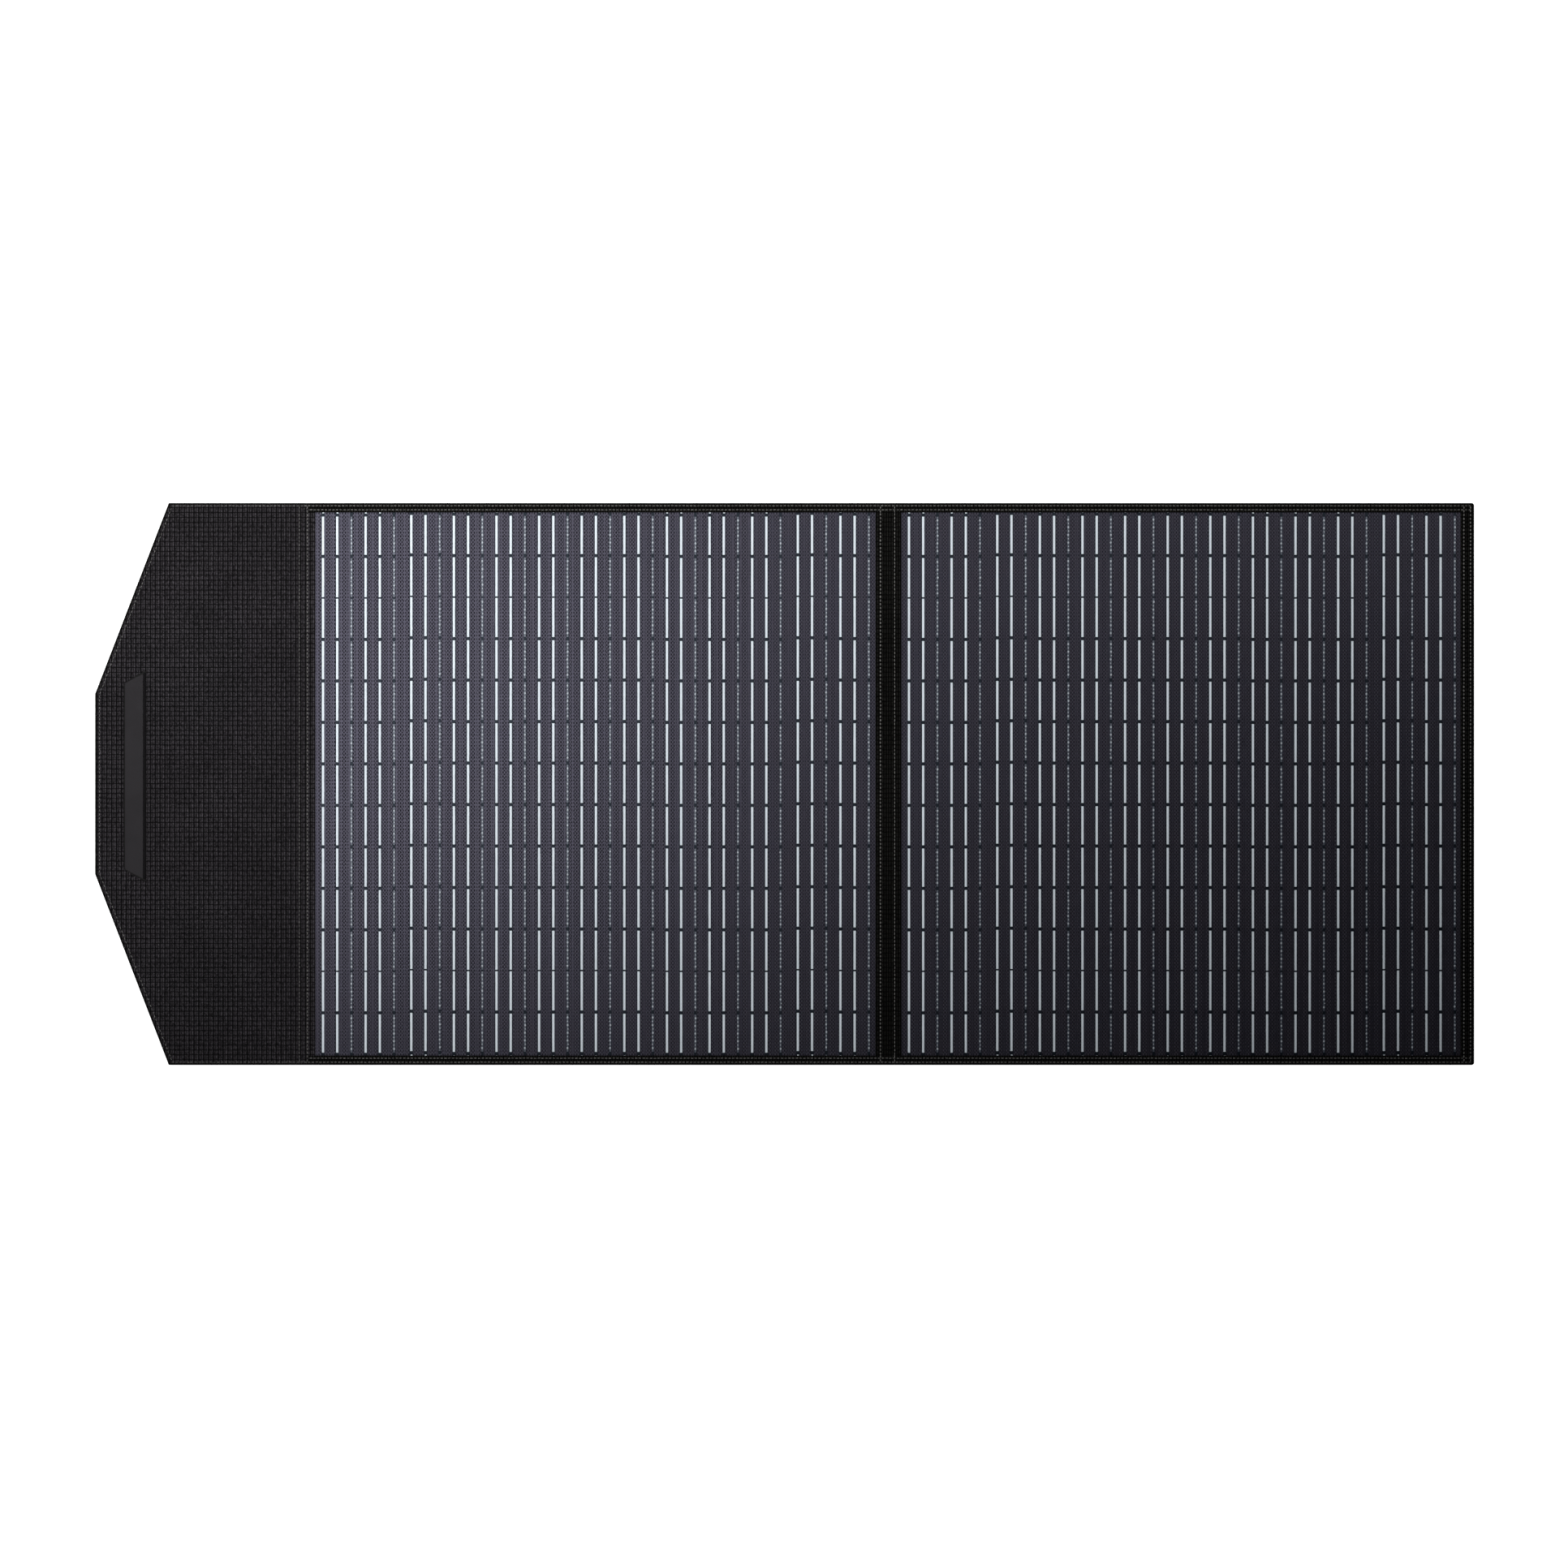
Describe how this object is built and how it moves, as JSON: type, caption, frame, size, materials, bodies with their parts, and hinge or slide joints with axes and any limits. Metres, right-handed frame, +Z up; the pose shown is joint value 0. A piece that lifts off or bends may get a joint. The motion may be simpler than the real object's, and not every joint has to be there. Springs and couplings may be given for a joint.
{
  "type": "folding solar blanket",
  "caption": "Folding solar blanket: hinged cell panels in black cloth, a tapered closing flap with a slot handle, kickstands and a zipped socket pocket.",
  "frame": {"origin": "on the surface it lies on, under the middle of its box, lying open with the cells up", "axes": "+X along the blanket from the closing flap to the free end, +Y towards the stands' hinges, +Z up out of the cells"},
  "size_m": [1.274, 0.519, 0.014],
  "materials": {
    "cover_fabric": "fine coated weave",
    "flap_fabric": "coarse square weave",
    "board": "matt",
    "back_sheet": "matt",
    "cell": "satin",
    "ribbon": "bright tinned",
    "film": "embossed satin",
    "steel": "satin",
    "lead": "matt",
    "webbing": "ribbed webbing",
    "rubber": "matt",
    "handle": "smooth satin",
    "zip_tape": "woven tape",
    "zip_coil": "moulded",
    "zip_metal": "satin black",
    "housing": "fine texture",
    "pcb": "solder mask"
  },
  "bodies": {
    "panel_left": {"left_back_cover": "cover_fabric", "left_stiffener": "board", "left_back_sheet": "back_sheet", "left_solar_cells": "cell", "left_ribbons": "ribbon", "left_front_film": "film", "left_edge_hem": "cover_fabric", "left_gusset": "cover_fabric", "left_magnets": "steel", "left_leads": "lead", "left_back_webbing": "webbing", "left_snap_stud": "steel"},
    "panel_right": {"right_back_cover": "cover_fabric", "right_stiffener": "board", "right_back_sheet": "back_sheet", "right_solar_cells": "cell", "right_ribbons": "ribbon", "right_front_film": "film", "right_edge_hem": "cover_fabric", "right_gusset": "cover_fabric", "right_magnets": "steel", "right_leads": "lead", "right_back_webbing": "webbing", "right_snap_stud": "steel"},
    "left_stand": {"left_stand_outer_skin": "cover_fabric", "left_stand_board": "board", "left_stand_inner_skin": "cover_fabric", "left_stand_foot": "rubber", "left_snap_socket": "steel"},
    "right_stand": {"right_stand_outer_skin": "cover_fabric", "right_stand_board": "board", "right_stand_inner_skin": "cover_fabric", "right_stand_foot": "rubber", "right_snap_socket": "steel"},
    "left_upper_strap": {"left_strap_upper": "webbing"},
    "left_lower_strap": {"left_strap_lower": "webbing"},
    "right_upper_strap": {"right_strap_upper": "webbing"},
    "right_lower_strap": {"right_strap_lower": "webbing"},
    "flap_spine": {"spine_skins": "cover_fabric", "spine_lead": "lead"},
    "zip_slider": {"zip_slider": "zip_metal"},
    "zip_pull": {"zip_pull": "zip_metal"},
    "port_cap": {"port_cap": "rubber"},
    "flap": {"carry_handle": "handle", "circuit_board": "pcb", "dc_socket": "housing", "flap_back_skin": "flap_fabric", "flap_core": "board", "flap_front_skin": "flap_fabric", "flap_lead": "lead", "handle_plates": "steel", "handle_rivets": "steel", "junction_base": "housing", "junction_lid": "housing", "junction_screws": "steel", "pocket_face": "cover_fabric", "pocket_gusset": "cover_fabric", "usb_socket": "steel", "zip_coil": "zip_coil", "zip_tapes": "zip_tape"}
  },
  "joints": [
    {"name": "centre_fold", "type": "hinge", "parent": "panel_left", "child": "panel_right", "pos_m": [0.0955, 0, 0.0145], "axis": [0, -1, 0], "range_deg": [0, 180]},
    {"name": "flap_lift", "type": "hinge", "parent": "panel_left", "child": "flap_spine", "pos_m": [-0.4484, 0, 0.0145], "axis": [0, 1, 0], "range_deg": [0, 90]},
    {"name": "flap_wrap", "type": "hinge", "parent": "flap_spine", "child": "flap", "pos_m": [-0.4555, 0, 0.0145], "axis": [0, 1, 0], "range_deg": [0, 90]},
    {"name": "left_stand_fold", "type": "hinge", "parent": "panel_left", "child": "left_stand", "pos_m": [-0.17645, 0.17, 0.0073], "axis": [1, 0, 0], "range_deg": [0, 50]},
    {"name": "left_upper_strap_swing", "type": "hinge", "parent": "panel_left", "child": "left_upper_strap", "pos_m": [-0.17645, -0.08, 0.00895], "axis": [-1, 0, 0], "range_deg": [0, 65], "deforming": ["left_strap_upper"]},
    {"name": "left_lower_strap_swing", "type": "hinge", "parent": "left_stand", "child": "left_lower_strap", "pos_m": [-0.17645, -0.08, 0.00565], "axis": [1, 0, 0], "range_deg": [0, 65], "deforming": ["left_strap_lower"]},
    {"name": "right_stand_fold", "type": "hinge", "parent": "panel_right", "child": "right_stand", "pos_m": [0.36625, 0.17, 0.0073], "axis": [1, 0, 0], "range_deg": [0, 50]},
    {"name": "right_upper_strap_swing", "type": "hinge", "parent": "panel_right", "child": "right_upper_strap", "pos_m": [0.36625, -0.08, 0.00895], "axis": [-1, 0, 0], "range_deg": [0, 65], "deforming": ["right_strap_upper"]},
    {"name": "right_lower_strap_swing", "type": "hinge", "parent": "right_stand", "child": "right_lower_strap", "pos_m": [0.36625, -0.08, 0.00565], "axis": [1, 0, 0], "range_deg": [0, 65], "deforming": ["right_strap_lower"]},
    {"name": "zip_slide", "type": "slide", "parent": "flap", "child": "zip_slider", "axis": [0, 1, 0], "range_m": [0, 0.242]},
    {"name": "zip_pull_swing", "type": "hinge", "parent": "zip_slider", "child": "zip_pull", "pos_m": [-0.4652, -0.121, 0.006], "axis": [0, 0, -1], "range_deg": [0, 180]},
    {"name": "port_cap_open", "type": "hinge", "parent": "flap", "child": "port_cap", "pos_m": [-0.4986, 0.0325, 0.0066], "axis": [0, 0, 1], "range_deg": [0, 110]}
  ],
  "couplings": [
    {"joint": "left_upper_strap_swing", "follows": "left_stand_fold", "ratio": 1.3},
    {"joint": "left_lower_strap_swing", "follows": "left_stand_fold", "ratio": 1.3},
    {"joint": "right_upper_strap_swing", "follows": "right_stand_fold", "ratio": 1.3},
    {"joint": "right_lower_strap_swing", "follows": "right_stand_fold", "ratio": 1.3}
  ]
}
